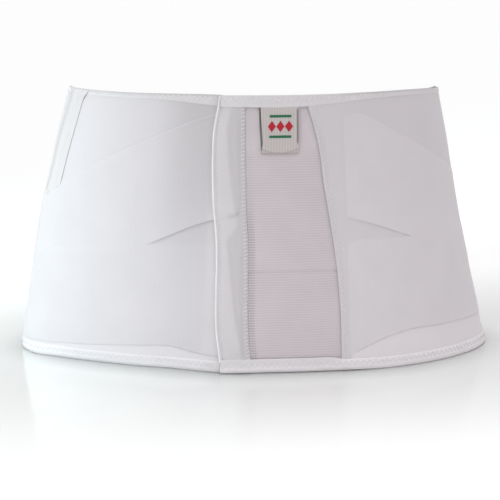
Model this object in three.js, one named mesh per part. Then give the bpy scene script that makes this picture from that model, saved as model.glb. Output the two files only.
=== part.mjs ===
// A lumbosacral brace: an elastic waist support, closed at the front and standing on its lower hem.
// Millimetres, +Z up. The closure faces -Y, and the wearer's waist passes through along Z.
// A place on the wall is given by three numbers: turn, the share of the way round from the front
// centre by the viewer's right, the back and the left; z, the height; and n, the distance outwards.
import * as THREE from 'three';

// Overall form.
const FRONT_HEIGHT = 250;
const BACK_DIP = 26;
const BELLY = 2;
const RIM_PLAN = { side: -2.5, depth: -6, halfWidth: 174, halfDepth: 113 };
const FOOT_PLAN = [
  { side: -8.5, depth: -122.5 },
  { side: 43.5, depth: -123.5 },
  { side: 99.5, depth: -118 },
  { side: 141.5, depth: -102 },
  { side: 175.5, depth: -80 },
  { side: 203.5, depth: -52 },
  { side: 220.5, depth: -20 },
  { side: 222.5, depth: 19 },
  { side: 196.5, depth: 64 },
  { side: 141.5, depth: 99 },
  { side: 66.5, depth: 119 },
  { side: -8.5, depth: 124 },
  { side: -83.5, depth: 119 },
  { side: -153.5, depth: 100 },
  { side: -203.5, depth: 64 },
  { side: -224.5, depth: 22 },
  { side: -215.5, depth: -11 },
  { side: -188.5, depth: -34 },
  { side: -152.5, depth: -59 },
  { side: -99.5, depth: -91.5 },
  { side: -53.5, depth: -119 },
];
// How far the rim stands above the front's height, at shares of the way round.
const RIM_RISE = [
  { turn: -0.06, rise: 0 },
  { turn: 0.05, rise: 0 },
  { turn: 0.1, rise: 0.6 },
  { turn: 0.15, rise: 0.8 },
  { turn: 0.19, rise: -0.2 },
  { turn: 0.22, rise: -1.8 },
  { turn: 0.25, rise: -2 },
  { turn: 0.4, rise: 0 },
  { turn: 0.6, rise: 0.5 },
  { turn: 0.7, rise: 1.7 },
  { turn: 0.75, rise: 2 },
  { turn: 0.8, rise: 1.7 },
  { turn: 0.9, rise: 0.6 },
  { turn: 1.02, rise: 0 },
];
const STATIONS = 80;
const ROW_STEP = 32;

// Layers of cloth, as distances outwards from the wall's inner face.
const WALL = 1.4;
const BAND = 1.2;
const LAYER_GAP = 0.5;
const BAND_INNER = WALL + LAYER_GAP;
const MESH = 1.2;
const MESH_OUTER = -LAYER_GAP;
const MESH_INNER = MESH_OUTER - MESH;
const TAPE = 0.8;
const TAPE_GAP = 0.4;

// The left side dips inwards to pass under the flap.
const TUCK = { depth: 6, starts: 0.87, full: 0.94 };
const LEFT_END = 1.02;

// The flap: its end edge, the free edge of the hook strip on it and the curved edge where the right
// panel begins.
const FLAP_EDGE = [
  { z: 0, turn: -0.0376 },
  { z: 12, turn: -0.039 },
  { z: 40, turn: -0.0432 },
  { z: 77, turn: -0.0451 },
  { z: 102, turn: -0.0458 },
  { z: 126, turn: -0.0476 },
  { z: 150, turn: -0.0511 },
  { z: 175, turn: -0.0536 },
  { z: 200, turn: -0.055 },
  { z: 222, turn: -0.0549 },
  { z: 236, turn: -0.0531 },
  { z: FRONT_HEIGHT, turn: -0.0514 },
];
const STRIP_EDGE = [
  { z: 0, turn: -0.0135 },
  { z: 12, turn: -0.0145 },
  { z: 30, turn: -0.0168 },
  { z: 79, turn: -0.0192 },
  { z: 124, turn: -0.0209 },
  { z: 142, turn: -0.0226 },
  { z: 165, turn: -0.0241 },
  { z: 187, turn: -0.0254 },
  { z: FRONT_HEIGHT, turn: -0.0282 },
];
const PANEL_EDGE = [
  { z: 0, turn: 0.0604 },
  { z: 50, turn: 0.0604 },
  { z: 90, turn: 0.0581 },
  { z: 120, turn: 0.0548 },
  { z: 150, turn: 0.0502 },
  { z: 172, turn: 0.0467 },
  { z: 195, turn: 0.0441 },
  { z: 215, turn: 0.0401 },
  { z: 228, turn: 0.0364 },
  { z: 238, turn: 0.033 },
  { z: FRONT_HEIGHT, turn: 0.03 },
];
const MESH_UNDERLAP = 0.009;
const SLOT_NARROWS = 0.025;
const ROLL = { radius: 1, sides: 8, clear: 0.0014, steps: 24, foot: 0.6 };

// Bindings, label and casing.
const TOP_BINDING = 10;
const HEM = 11;
const LABEL = { from: -0.0135, to: 0.0229, low: 198, tuck: 1.8, ply: 0.5, fold: 0.9 };
const CASING = {
  foot: 0.768, rim: 0.7995, width: 0.031, low: 160, thick: 1.2, clear: 0.4, step: 1.1, stepsOver: 11,
};

// Elastic bands: lower and upper edge at shares of the way round.
const BAND_CLEAR = 0.8;
const UPPER_BAND = [
  { turn: 0.068, low: 140, high: 235 },
  { turn: 0.09, low: 134, high: 231 },
  { turn: 0.12, low: 123, high: 217 },
  { turn: 0.18, low: 102, high: 190 },
  { turn: 0.24, low: 84, high: 170 },
  { turn: 0.5, low: 60, high: 158 },
  { turn: 0.7, low: 50, high: 150 },
  { turn: 0.79, low: 63, high: 166 },
  { turn: 0.83, low: 85, high: 187 },
  { turn: 0.885, low: 113, high: 212 },
  { turn: 0.943, low: 138, high: 234 },
  { turn: LEFT_END, low: 148, high: 237 },
];
const LOWER_BAND = [
  { turn: 0.068, low: 14, high: 121 },
  { turn: 0.085, low: 23, high: 120 },
  { turn: 0.113, low: 32, high: 119 },
  { turn: 0.16, low: 33, high: 120 },
  { turn: 0.22, low: 31, high: 121 },
  { turn: 0.5, low: 22, high: 112 },
  { turn: 0.765, low: 12.5, high: 104 },
  { turn: 0.84, low: 16, high: 113 },
  { turn: 0.89, low: 20, high: 116 },
  { turn: 0.95, low: 21, high: 117 },
  { turn: LEFT_END, low: 20, high: 117 },
];

const { lerp, smoothstep } = THREE.MathUtils;

// The rim's plan is an ellipse that starts at the front centre and turns to the viewer's right.
class RimCurve extends THREE.Curve {
  getPoint(share, target = new THREE.Vector3()) {
    const angle = 2 * Math.PI * share;
    const side = RIM_PLAN.side + RIM_PLAN.halfWidth * Math.sin(angle);
    const depth = RIM_PLAN.depth - RIM_PLAN.halfDepth * Math.cos(angle);
    return target.set(side, depth, 0);
  }
}

// The wall stands between the foot's plan and the rim's plan, sampled at equal shares of the way round.
function wallStations() {
  const footPoints = FOOT_PLAN.map(({ side, depth }) => new THREE.Vector3(side, depth, 0));
  const foot = new THREE.CatmullRomCurve3(footPoints, true, 'centripetal');
  const rim = new RimCurve();
  return Array.from({ length: STATIONS }, (_, index) => {
    const share = index / STATIONS;
    const along = foot.getTangentAt(share).add(rim.getTangentAt(share)).normalize();
    const outwards = new THREE.Vector3(along.y, -along.x, 0);
    return { foot: foot.getPointAt(share), rim: rim.getPointAt(share), outwards };
  });
}

const stations = wallStations();

function atStation(index, z, n) {
  const { foot, rim, outwards } = stations[((index % STATIONS) + STATIONS) % STATIONS];
  const share = z / FRONT_HEIGHT;
  const belly = BELLY * 4 * share * (1 - share);
  const point = foot.clone().lerp(rim, share).addScaledVector(outwards, n + belly);
  return point.setZ(z);
}

function place(turn, z, n) {
  const index = Math.floor(turn * STATIONS);
  return atStation(index, z, n).lerp(atStation(index + 1, z, n), turn * STATIONS - index);
}

// The rim rises and falls a little at the sides, and its back lies lower than its front.
function rimHeight(turn) {
  const rise = read(RIM_RISE, 'turn', turn, 'rise');
  return FRONT_HEIGHT + rise - BACK_DIP * Math.max(0, -Math.cos(2 * Math.PI * turn));
}

function tuck(turn) {
  return -TUCK.depth * smoothstep(turn, TUCK.starts, TUCK.full);
}

// A value read between the rows of a table that has one column for its place.
function read(table, placeColumn, at, column) {
  const next = Math.max(1, table.findIndex((row) => row[placeColumn] >= at));
  const before = table[next - 1];
  const after = table[next];
  const share = (at - before[placeColumn]) / (after[placeColumn] - before[placeColumn]);
  return lerp(before[column], after[column], share);
}

const flapEnd = (z) => read(FLAP_EDGE, 'z', z, 'turn');
const stripEnd = (z) => read(STRIP_EDGE, 'z', z, 'turn');
const panelEdge = (z) => read(PANEL_EDGE, 'z', z, 'turn');

// A closed sheet of cloth: a grid of columns and rows with a front and a back face and four edges.
// Seen from the front, columns run to the right and rows run up.
function sheet(columns, rows, front, back) {
  const positions = [];
  const triangles = [];
  const indexOf = (side, i, j) => side * columns * rows + i * rows + j;
  for (const face of [front, back]) {
    for (let i = 0; i < columns; i += 1) {
      for (let j = 0; j < rows; j += 1) positions.push(...face(i, j).toArray());
    }
  }
  const quad = (a, b, c, d) => triangles.push(a, b, c, a, c, d);
  for (let i = 0; i + 1 < columns; i += 1) {
    for (let j = 0; j + 1 < rows; j += 1) {
      quad(indexOf(0, i, j), indexOf(0, i + 1, j), indexOf(0, i + 1, j + 1), indexOf(0, i, j + 1));
      quad(indexOf(1, i, j), indexOf(1, i, j + 1), indexOf(1, i + 1, j + 1), indexOf(1, i + 1, j));
    }
    quad(indexOf(0, i + 1, 0), indexOf(0, i, 0), indexOf(1, i, 0), indexOf(1, i + 1, 0));
    const top = rows - 1;
    quad(indexOf(0, i, top), indexOf(0, i + 1, top), indexOf(1, i + 1, top), indexOf(1, i, top));
  }
  for (let j = 0; j + 1 < rows; j += 1) {
    quad(indexOf(0, 0, j), indexOf(0, 0, j + 1), indexOf(1, 0, j + 1), indexOf(1, 0, j));
    const last = columns - 1;
    quad(indexOf(0, last, j + 1), indexOf(0, last, j), indexOf(1, last, j), indexOf(1, last, j + 1));
  }
  const geometry = new THREE.BufferGeometry();
  geometry.setAttribute('position', new THREE.Float32BufferAttribute(positions, 3));
  geometry.setIndex(triangles);
  return geometry;
}

// Columns of a piece: its two ends, which may slant with height, and the wall's stations between them.
function columnsBetween(from, to) {
  const step = 1 / STATIONS;
  const margin = step / 4;
  const spread = (edge) => [edge(0), edge(FRONT_HEIGHT / 2), edge(FRONT_HEIGHT)];
  const first = Math.max(...spread(from)) + margin;
  const last = Math.min(...spread(to)) - margin;
  const between = [];
  for (let index = Math.ceil(first / step); index * step < last; index += 1) {
    const turn = index * step;
    between.push(() => turn);
  }
  const filled = (edge, neighbour) => {
    const gaps = spread(edge).map((turn, k) => Math.abs(spread(neighbour)[k] - turn));
    const parts = Math.ceil(Math.max(...gaps) / step);
    return Array.from({ length: parts }, (_, k) => (z) => lerp(edge(z), neighbour(z), k / parts));
  };
  if (between.length === 0) return [...filled(from, to), to];
  const lastBetween = between.pop();
  const firstBetween = between[0] ?? lastBetween;
  return [...filled(from, firstBetween), ...between, ...filled(lastBetween, to), to];
}

// A piece of wall between two ends and two heights, between two distances outwards.
function wallPiece({ from, to, low, high, inner, outer }) {
  const columns = columnsBetween(from, to);
  const middle = columns.map((column) => column(FRONT_HEIGHT / 2));
  const tallest = Math.max(...middle.map((turn) => high(turn) - low(turn)));
  const rows = Math.ceil(tallest / ROW_STEP) + 1;
  const corner = (depth) => (i, j) => {
    const z = lerp(low(middle[i]), high(middle[i]), j / (rows - 1));
    const turn = columns[i](z);
    return place(turn, z, depth(turn, z));
  };
  return sheet(columns.length, rows, corner(outer), corner(inner));
}

// A tape folded over an edge of the wall: its section runs up one side, over the edge and down the other.
function foldedTape({ from, to, edge, fold, inner, outer }) {
  const columns = columnsBetween(() => from, () => to).map((column) => column(0));
  const section = (turn, thick) => [
    [inner(turn) - thick, edge(turn) + fold],
    [inner(turn) - thick, edge(turn) + Math.sign(fold) * (TAPE - thick)],
    [outer(turn) + thick, edge(turn) + Math.sign(fold) * (TAPE - thick)],
    [outer(turn) + thick, edge(turn) + fold],
  ];
  const corner = (thick) => (i, j) => {
    const [n, z] = section(columns[i], thick)[j];
    return place(columns[i], z, n);
  };
  const rows = section(from, 0).length;
  const [front, back] = fold > 0 ? [TAPE, 0] : [0, TAPE];
  return sheet(columns.length, rows, corner(front), corner(back));
}

// Pieces that reach from hem to rim end inside the folded tapes.
const insideHem = () => TAPE + TAPE_GAP;
const insideRim = (turn) => rimHeight(turn) - TAPE - TAPE_GAP;

function bodyPanel() {
  return wallPiece({
    from: panelEdge,
    to: () => LEFT_END,
    low: insideHem,
    high: insideRim,
    inner: (turn) => tuck(turn),
    outer: (turn) => tuck(turn) + WALL,
  });
}

function meshPanel() {
  return wallPiece({
    from: flapEnd,
    to: (z) => panelEdge(z) + MESH_UNDERLAP,
    low: insideHem,
    high: insideRim,
    inner: () => MESH_INNER,
    outer: () => MESH_OUTER,
  });
}

function closureStrip() {
  return wallPiece({
    from: flapEnd,
    to: stripEnd,
    low: insideHem,
    high: insideRim,
    inner: () => 0,
    outer: () => WALL,
  });
}

function flapRoll() {
  const points = Array.from({ length: ROLL.steps + 1 }, (_, k) => {
    const z = lerp(ROLL.foot, FRONT_HEIGHT - ROLL.foot, k / ROLL.steps);
    return place(flapEnd(z) - ROLL.clear, z, 0);
  });
  const corners = Array.from({ length: ROLL.sides }, (_, k) => {
    const angle = 2 * Math.PI * k / ROLL.sides;
    return new THREE.Vector2(ROLL.radius * Math.cos(angle), ROLL.radius * Math.sin(angle));
  });
  return new THREE.ExtrudeGeometry(new THREE.Shape(corners), {
    steps: ROLL.steps,
    bevelEnabled: false,
    extrudePath: new THREE.CatmullRomCurve3(points),
  });
}

// The slot inside a binding: over the flap it also takes in the mesh, under the right panel it narrows.
function slotInner(turn) {
  const meshEnd = panelEdge(0) + MESH_UNDERLAP;
  const past = smoothstep(turn, meshEnd, meshEnd + SLOT_NARROWS);
  return tuck(turn) - TAPE_GAP + lerp(MESH_INNER, 0, past);
}

function slotOuter(turn) {
  return tuck(turn) + WALL + TAPE_GAP;
}

function topBinding() {
  return foldedTape({
    from: flapEnd(FRONT_HEIGHT),
    to: LEFT_END,
    edge: rimHeight,
    fold: -TOP_BINDING,
    inner: slotInner,
    outer: slotOuter,
  });
}

function bottomBinding() {
  return foldedTape({
    from: flapEnd(0),
    to: LEFT_END,
    edge: () => 0,
    fold: HEM,
    inner: slotInner,
    outer: slotOuter,
  });
}

function band(low, high) {
  return wallPiece({
    from: () => UPPER_BAND[0].turn,
    to: () => LEFT_END,
    low,
    high,
    inner: (turn) => tuck(turn) + BAND_INNER,
    outer: (turn) => tuck(turn) + BAND_INNER + BAND,
  });
}

function lowerHigh(turn) {
  return read(LOWER_BAND, 'turn', turn, 'high');
}

function lowerBand() {
  return band((turn) => read(LOWER_BAND, 'turn', turn, 'low'), lowerHigh);
}

function upperHigh(turn) {
  return read(UPPER_BAND, 'turn', turn, 'high');
}

// At the sides the upper band goes under the lower one, so it ends at that band's upper edge.
function upperBand() {
  const low = (turn) => Math.max(read(UPPER_BAND, 'turn', turn, 'low'), lowerHigh(turn) + BAND_CLEAR);
  return band(low, upperHigh);
}

// A folded tag: one strip that hangs from the binding, turns at its lower end and goes up again.
function label() {
  const turns = [LABEL.from, 0, LABEL.to];
  const top = FRONT_HEIGHT - LABEL.tuck;
  const section = (thick) => [
    [thick, top],
    [thick, LABEL.low + thick],
    [LABEL.ply + LABEL.fold - thick, LABEL.low + thick],
    [LABEL.ply + LABEL.fold - thick, top],
  ];
  const corner = (thick) => (i, j) => {
    const [n, z] = section(thick)[j];
    return place(turns[i], z, n);
  };
  return sheet(turns.length, section(0).length, corner(0), corner(LABEL.ply));
}

// The casing leans towards the front, and rises over the binding's lower edge near the rim.
function stayCasing() {
  const front = (z) => lerp(CASING.foot, CASING.rim, z / FRONT_HEIGHT);
  const lean = front(CASING.low) - front(FRONT_HEIGHT / 2);
  const rise = (turn, z) => {
    const edge = rimHeight(turn) - TOP_BINDING;
    return BAND_INNER + CASING.clear + CASING.step * smoothstep(z, edge - CASING.stepsOver, edge);
  };
  return wallPiece({
    from: (z) => front(z) - CASING.width,
    to: front,
    low: (turn) => upperHigh(turn + lean) + BAND_CLEAR,
    high: rimHeight,
    inner: rise,
    outer: (turn, z) => rise(turn, z) + CASING.thick,
  });
}

const PIECES = [
  { name: 'body_panel', make: bodyPanel, colour: 0xe9e7ee, roughness: 0.9 },
  { name: 'mesh_panel', make: meshPanel, colour: 0xdcdae2, roughness: 0.85 },
  { name: 'closure_strip', make: closureStrip, colour: 0xe6e4ea, roughness: 0.85 },
  { name: 'flap_edge', make: flapRoll, colour: 0xf7f6f8, roughness: 0.5 },
  { name: 'top_binding', make: topBinding, colour: 0xefedf2, roughness: 0.8 },
  { name: 'bottom_binding', make: bottomBinding, colour: 0xefedf2, roughness: 0.8 },
  { name: 'upper_band', make: upperBand, colour: 0xecebf0, roughness: 0.85 },
  { name: 'lower_band', make: lowerBand, colour: 0xecebf0, roughness: 0.85 },
  { name: 'label', make: label, colour: 0xf4f3f6, roughness: 0.45 },
  { name: 'stay_casing', make: stayCasing, colour: 0xf0eff3, roughness: 0.8 },
];

const brace = new THREE.Group();
for (const { name, make, colour, roughness } of PIECES) {
  const material = new THREE.MeshStandardMaterial({ color: colour, roughness, metalness: 0 });
  const mesh = new THREE.Mesh(make(), material);
  mesh.name = name;
  brace.add(mesh);
}

// The origin is the middle of the brace's footprint, on the surface that it stands on.
const middle = new THREE.Box3().setFromObject(brace).getCenter(new THREE.Vector3());
brace.position.set(-middle.x, -middle.y, 0);

export default brace;
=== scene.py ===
"""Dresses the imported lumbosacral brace: elastic knit, woven bands, mesh, tapes, tag and stitching."""
import math
from functools import partial

import bpy
import numpy as np
from bpy.props import FloatProperty, FloatVectorProperty, PointerProperty
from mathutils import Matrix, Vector


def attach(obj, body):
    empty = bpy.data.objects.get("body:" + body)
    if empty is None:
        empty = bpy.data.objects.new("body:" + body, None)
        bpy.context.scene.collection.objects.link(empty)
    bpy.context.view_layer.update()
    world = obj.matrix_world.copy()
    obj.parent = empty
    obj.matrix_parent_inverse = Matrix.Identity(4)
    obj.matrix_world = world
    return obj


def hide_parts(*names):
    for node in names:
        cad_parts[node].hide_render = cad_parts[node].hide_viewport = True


bl_info = {
    "name": "Lumbosacral Brace",
    "version": (1, 0, 0),
    "blender": (4, 5, 0),
    "location": "View3D > Sidebar > Brace",
    "description": "Builds the cloth, the stitching and the stage of an elastic waist brace",
    "category": "Object",
}

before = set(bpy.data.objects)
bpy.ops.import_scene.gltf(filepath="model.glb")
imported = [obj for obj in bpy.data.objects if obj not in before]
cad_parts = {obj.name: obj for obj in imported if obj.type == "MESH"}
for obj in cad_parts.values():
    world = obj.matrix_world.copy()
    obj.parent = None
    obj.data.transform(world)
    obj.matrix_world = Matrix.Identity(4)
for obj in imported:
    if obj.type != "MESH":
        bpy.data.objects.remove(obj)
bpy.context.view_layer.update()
BODY = "root"
MM = 0.001

# The form, in millimetres. A place on the wall has three numbers: turn, the share of the way round from
# the front centre by the viewer's right, the back and the left; z, the height; and n, the distance
# outwards from the wall's inner face.
FRONT_HEIGHT = 250.0
BACK_DIP = 26.0
BELLY = 2.0
RIM_CENTRE = (-2.5, -6.0)
RIM_HALF = (174.0, 113.0)
FOOT_PLAN = (
    (-8.5, -122.5), (43.5, -123.5), (99.5, -118), (141.5, -102), (175.5, -80), (203.5, -52),
    (220.5, -20), (222.5, 19), (196.5, 64), (141.5, 99), (66.5, 119), (-8.5, 124),
    (-83.5, 119), (-153.5, 100), (-203.5, 64), (-224.5, 22), (-215.5, -11), (-188.5, -34),
    (-152.5, -59), (-99.5, -91.5), (-53.5, -119),
)
STATIONS = 1440

# How far the rim stands above the front's height, as (turn, rise).
RIM_RISE = (
    (-0.06, 0), (0.05, 0), (0.1, 0.6), (0.15, 0.8), (0.19, -0.2), (0.22, -1.8), (0.25, -2),
    (0.4, 0), (0.6, 0.5), (0.7, 1.7), (0.75, 2), (0.8, 1.7), (0.85, 1.4), (0.888, 1.6), (0.92, 1),
    (0.942, 0.3), (0.965, -1.2), (1.02, -1.2),
)

# How far the sides stand out from the straight line between foot and rim, as (height, left, right).
SIDE_LEAN = (
    (0, 0, 0), (15, 1.4, -1.6), (60, 1.6, -3.7), (90, 2.2, -4.6), (120, 3.5, -5.5),
    (145, 3.9, -5.8), (175, 3.5, -4.8), (205, 2.9, -3.6), (230, 1.4, -3.1), (250, 0, -2.8),
)
LEFT_LEANS = (0.62, 0.74, 0.8, 0.9)
RIGHT_LEANS = (0.1, 0.22, 0.27, 0.4)

# The left front corner stands out most near the rim.
CORNER_OUT = 6.0
CORNER_AT = (0.82, 0.888, 0.888, 0.952)
CORNER_GROWS = (60.0, 210.0)

# Slow swells of the cloth, as (size, waves round, height of a radian, start).
SWELLS = ((0.5, 5, 31.0, 0.0), (0.35, 9, -23.0, 1.3), (0.2, 17, 17.0, 0.4))

# Layers of cloth.
WALL = 1.4
BAND = 0.8
BAND_OUTER = 1.95
BAND_PRESS = 1.0
MESH = 1.0
MESH_OUTER = -0.5
MESH_INNER = -1.7
STRIP = 1.0
TAPE = 0.4
TAPE_GAP = 0.1
CASING = 0.5
CUT_IN = 1.2

# The left side dips inwards to pass under the flap.
TUCK_DEPTH = 5.2
TUCK_STARTS = 0.87
TUCK_FULL = 0.945
LEFT_END = 1.02

# Turns between which the tapes are sewn.
SEWN_FROM = -0.052
SEWN_TO = 0.955

# Painted light and shade of the knit: the shares of its colour in its ground, its painted shade beside the
# flap, and where it is painted lightest; its tone between the two; how much lighter it is painted on the
# left; and where the left side is painted in shade.
KNIT_GROUND = 0.87
KNIT_PAINTED_LIGHTEST = (1.15, 1.29)
KNIT_TONE = 0.48
LEFT_PAINTED_LIGHTER = 0.13
PAINTED_SHADE_BESIDE_FLAP = (0.885, 0.93, 0.939, 0.9485)

# Edges of the flap, as (height, turn) up its length.
FLAP_EDGE = (
    (0, -0.0376), (12, -0.039), (40, -0.0432), (77, -0.0451), (102, -0.0458), (126, -0.0476),
    (150, -0.0511), (175, -0.0536), (200, -0.055), (222, -0.0549), (236, -0.0531),
    (250, -0.0514),
)
STRIP_EDGE = (
    (0, -0.0135), (12, -0.0145), (30, -0.0168), (79, -0.0192), (124, -0.0209),
    (142, -0.0226), (165, -0.0241), (187, -0.0254), (250, -0.0282),
)
PANEL_EDGE = (
    (0, 0.0604), (50, 0.0604), (90, 0.0581), (120, 0.0548), (150, 0.0502), (172, 0.0467),
    (195, 0.0441), (215, 0.0401), (228, 0.0364), (238, 0.033), (250, 0.03),
)
MESH_UNDERLAP = 0.009
SLOT_NARROWS = 0.025
ROLL_FOOT = 10.5
ROLL_TOP = 249.4

# Elastic bands, as (turn, lower edge, upper edge).
BAND_START = 0.068
UPPER_BAND = (
    (0.068, 140, 235), (0.09, 134, 231), (0.12, 123, 217), (0.18, 102, 190),
    (0.24, 84, 170), (0.5, 60, 158), (0.7, 50, 150), (0.79, 63, 166),
    (0.83, 85, 187), (0.885, 113, 212), (0.943, 138, 234), (1.02, 148, 237),
)
LOWER_BAND = (
    (0.068, 14, 121), (0.085, 23, 120), (0.113, 32, 119), (0.16, 33, 120),
    (0.22, 31, 121), (0.5, 22, 112), (0.765, 12.5, 104), (0.84, 16, 113),
    (0.89, 20, 116), (0.915, 21, 117), (0.937, 17, 117), (0.95, 15.5, 117),
    (1.02, 15, 117),
)

# Share of the rim tape's depth that shows outside, as (turn, share).
RIM_REACH = (
    (-0.06, 1), (0.035, 1), (0.06, 0.84), (0.08, 0.7), (0.1, 0.57), (0.13, 0.52), (0.5, 0.52),
    (0.85, 0.52), (0.895, 0.57), (0.913, 0.7), (0.93, 0.88), (0.945, 1), (1.02, 1),
)
FOLD_BULGE = 1.6
HEM_LIFT = 3.0
HEM_TALLER = 2.5
HEM_PAST_FLAP = 0.0016

# Tag and casing.
LABEL_EDGE = ((198.0, -0.0113), (240.0, -0.0151), (250.0, -0.0158))
LABEL_TO = 0.0229
LABEL_LOW = 198.0
LABEL_TUCK = 1.8
LABEL_PLY = 0.4
CASING_EDGE = ((155.0, 0.7885), (250.0, 0.7995))
CASING_WIDTH = 0.031

# Patches woven into the tag, as (side, height, width, tall).
DIAMONDS = tuple((side, 222.5, 7.0, 10.0) for side in (-7.4, 0.0, 7.4))
BARS = tuple((0.0, height, 19.0, 2.2) for height in (231.5, 213.5))

PATCH = 0.25
PATCH_OUT = 0.22

# Columns and rows of the grids.
BODY_GRID = (330, 120)
MESH_GRID = (60, 430)
STRIP_GRID = (40, 190)
ROLL_GRID = (200, 18)
TAPE_GRID = (760, 22)
BAND_GRID = (420, 44)
TAG_GRID = (60, 120)
PATCH_GRID = (22, 22)
CASING_GRID = (48, 60)

# Heights between which the front's seams are sewn.
SEAM_FOOT = 13.0
SEAM_TOP = 238.0

# Finishes: units of a wave texture to one ridge, scales of a cloth's mottle and fuzz, the shares of
# threads, whose gaps are painted in shade, and of mottle in its tone, the height of its threads in metres,
# and how far apart stitches lie on the UV map.
WAVE_UNIT = math.pi / 10
MOTTLE = 34.0
FUZZ = 900.0
THREADS_IN_TONE = 0.55
MOTTLE_IN_TONE = 0.45
THREAD_RELIEF = 0.3 * MM
STITCH_APART = 7.0

# The stage, in metres: where the spots stand and what they face, with their cones in degrees, the tilt and
# spread of the light from above, the brace's upright axis and the floor.
KEY_STANDS = (-1.506, -1.219, 0.748)
KEY_FACES = (-0.283, 0.238, 0.115)
KEY_CONE = 25.4
KEY_SOFT = 0.2
KEY_COLOUR = (0.82, 1.03, 1.03)
LOW_STANDS = (0.1, -2.2, 0.35)
LOW_FACES = (0.0, -0.12, -0.7)
LOW_CONE = 44.0
LOW_SOFT = 0.3
OVERHEAD_TILT = (math.radians(8.0), 0.0, math.radians(-40.0))
OVERHEAD_SPREAD = math.radians(60.0)
FILL_COLOUR = (1.0, 0.97, 0.985, 1.0)
BRACE_AXIS = (-0.0085, -0.006)
FLOOR_SIZE = 120.0
FLOOR_SHADED = (0.62, 0.635, 0.628)
FLOOR_OPEN = (0.955, 0.98, 0.965)

tint = partial(FloatVectorProperty, subtype="COLOR")
length = partial(FloatProperty, unit="LENGTH")
angle = partial(FloatProperty, subtype="ANGLE")


class BraceSizes(bpy.types.PropertyGroup):
    """Sizes of the tapes, the weave and the thread"""

    top_binding: length(
        name="Top binding", description="Depth of the tape folded over the rim", default=10 * MM
    )
    hem: length(name="Hem", description="Depth of the tape folded under the lower edge", default=11 * MM)
    edge_roll: length(
        name="Edge roll",
        description="Radius of the rolled edge at the end of the flap",
        default=0.85 * MM,
    )
    mesh_rib: length(name="Mesh rib", description="Height of one rib of the mesh", default=2.3 * MM)
    mesh_hole: length(
        name="Mesh hole",
        description="Distance between two holes along a rib of the mesh",
        default=1.5 * MM,
    )
    zigzag: length(
        name="Zigzag", description="Length of one zigzag of the binding's stitching", default=4.4 * MM
    )
    thread: length(name="Thread", description="Radius of the sewing thread", default=0.3 * MM)


class BraceColours(bpy.types.PropertyGroup):
    """Colours of the cloths and threads"""

    knit: tint(name="Knit", description="Elastic knit of the body panel", default=(0.645, 0.61, 0.635))
    band: tint(name="Bands", description="Woven elastic of the two bands", default=(0.65, 0.615, 0.64))
    mesh: tint(name="Mesh", description="Ribs of the open mesh", default=(0.577, 0.524, 0.55))
    strip: tint(
        name="Strip", description="Brushed cloth of the closure strip", default=(0.65, 0.615, 0.64)
    )
    casing: tint(name="Casing", description="Tape of the stay's casing", default=(0.64, 0.605, 0.617))
    # The rim tape and the hem tape are one tape: the rim tape's colour is painted darker, as painted shade,
    # and the hem tape's lighter, as painted light.
    rim: tint(name="Rim tape", description="Tape folded over the rim", default=(0.69, 0.66, 0.68))
    hem: tint(
        name="Hem tape", description="Tape folded under the lower edge", default=(0.795, 0.76, 0.785)
    )
    roll: tint(name="Roll", description="Satin of the rolled edge", default=(0.84, 0.82, 0.84))
    thread: tint(
        name="Thread",
        description="Sewing thread of the hem and the seams",
        default=(0.72, 0.695, 0.715),
    )
    overlock: tint(
        name="Overlock",
        description="Bright thread of the rim tape and the closure strip's overlock",
        default=(0.82, 0.795, 0.815),
    )
    tag: tint(name="Tag", description="Ground of the woven tag", default=(0.555, 0.508, 0.5))
    tag_red: tint(name="Tag red", description="Diamonds woven into the tag", default=(0.52, 0.012, 0.03))
    tag_green: tint(name="Tag green", description="Bars woven into the tag", default=(0.02, 0.16, 0.07))


class BraceStudio(bpy.types.PropertyGroup):
    """Camera and light of the stage"""

    azimuth: angle(
        name="Azimuth",
        description="Where the camera stands round the brace, from straight in front",
        default=math.radians(-8.0),
    )
    distance: length(
        name="Distance",
        description="Distance of the camera from the brace's upright axis",
        default=1.617,
    )
    height: length(name="Height", description="Height of the camera above the floor", default=0.370)
    pitch: angle(
        name="Pitch", description="How far the camera looks down", default=math.radians(9.73)
    )
    lens: FloatProperty(
        name="Lens", description="Focal length in millimetres on a 36 mm sensor", default=123.27
    )
    key: FloatProperty(
        name="Key light", description="Power of the soft key light from the left", default=165.0
    )
    overhead: FloatProperty(
        name="Overhead light",
        description="Strength of the soft light from above, which whitens the floor",
        default=1.21,
    )
    low: FloatProperty(
        name="Low light",
        description="Power of the weak light from the front, which brightens the lower part",
        default=90.0,
    )
    fill: FloatProperty(
        name="Fill", description="Strength of the soft light from all round, on the left", default=0.6
    )
    fill_right: FloatProperty(
        name="Fill on the right",
        description="Strength of the soft light from all round, on the right",
        default=0.68,
    )


def mm(metres):
    return metres / MM


def lerp(a, b, share):
    return a + (b - a) * share


def soft_step(x, start, end):
    share = np.clip((x - start) / (end - start), 0.0, 1.0)
    return share * share * (3.0 - 2.0 * share)


def soft_fall(x, start, end):
    return 1.0 - soft_step(x, start, end)


def between(x, rises, full, falls, gone):
    """A soft window along x."""
    return soft_step(x, rises, full) * soft_fall(x, falls, gone)


def ridge(x, centre, width):
    return np.exp(-(((x - centre) / width) ** 2))


def rounding(distance, radius, drop):
    """How far a cloth falls away within radius of its edge."""
    near = np.clip(1.0 - distance / radius, 0.0, 1.0)
    return drop * (1.0 - np.sqrt(1.0 - near**2))


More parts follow.
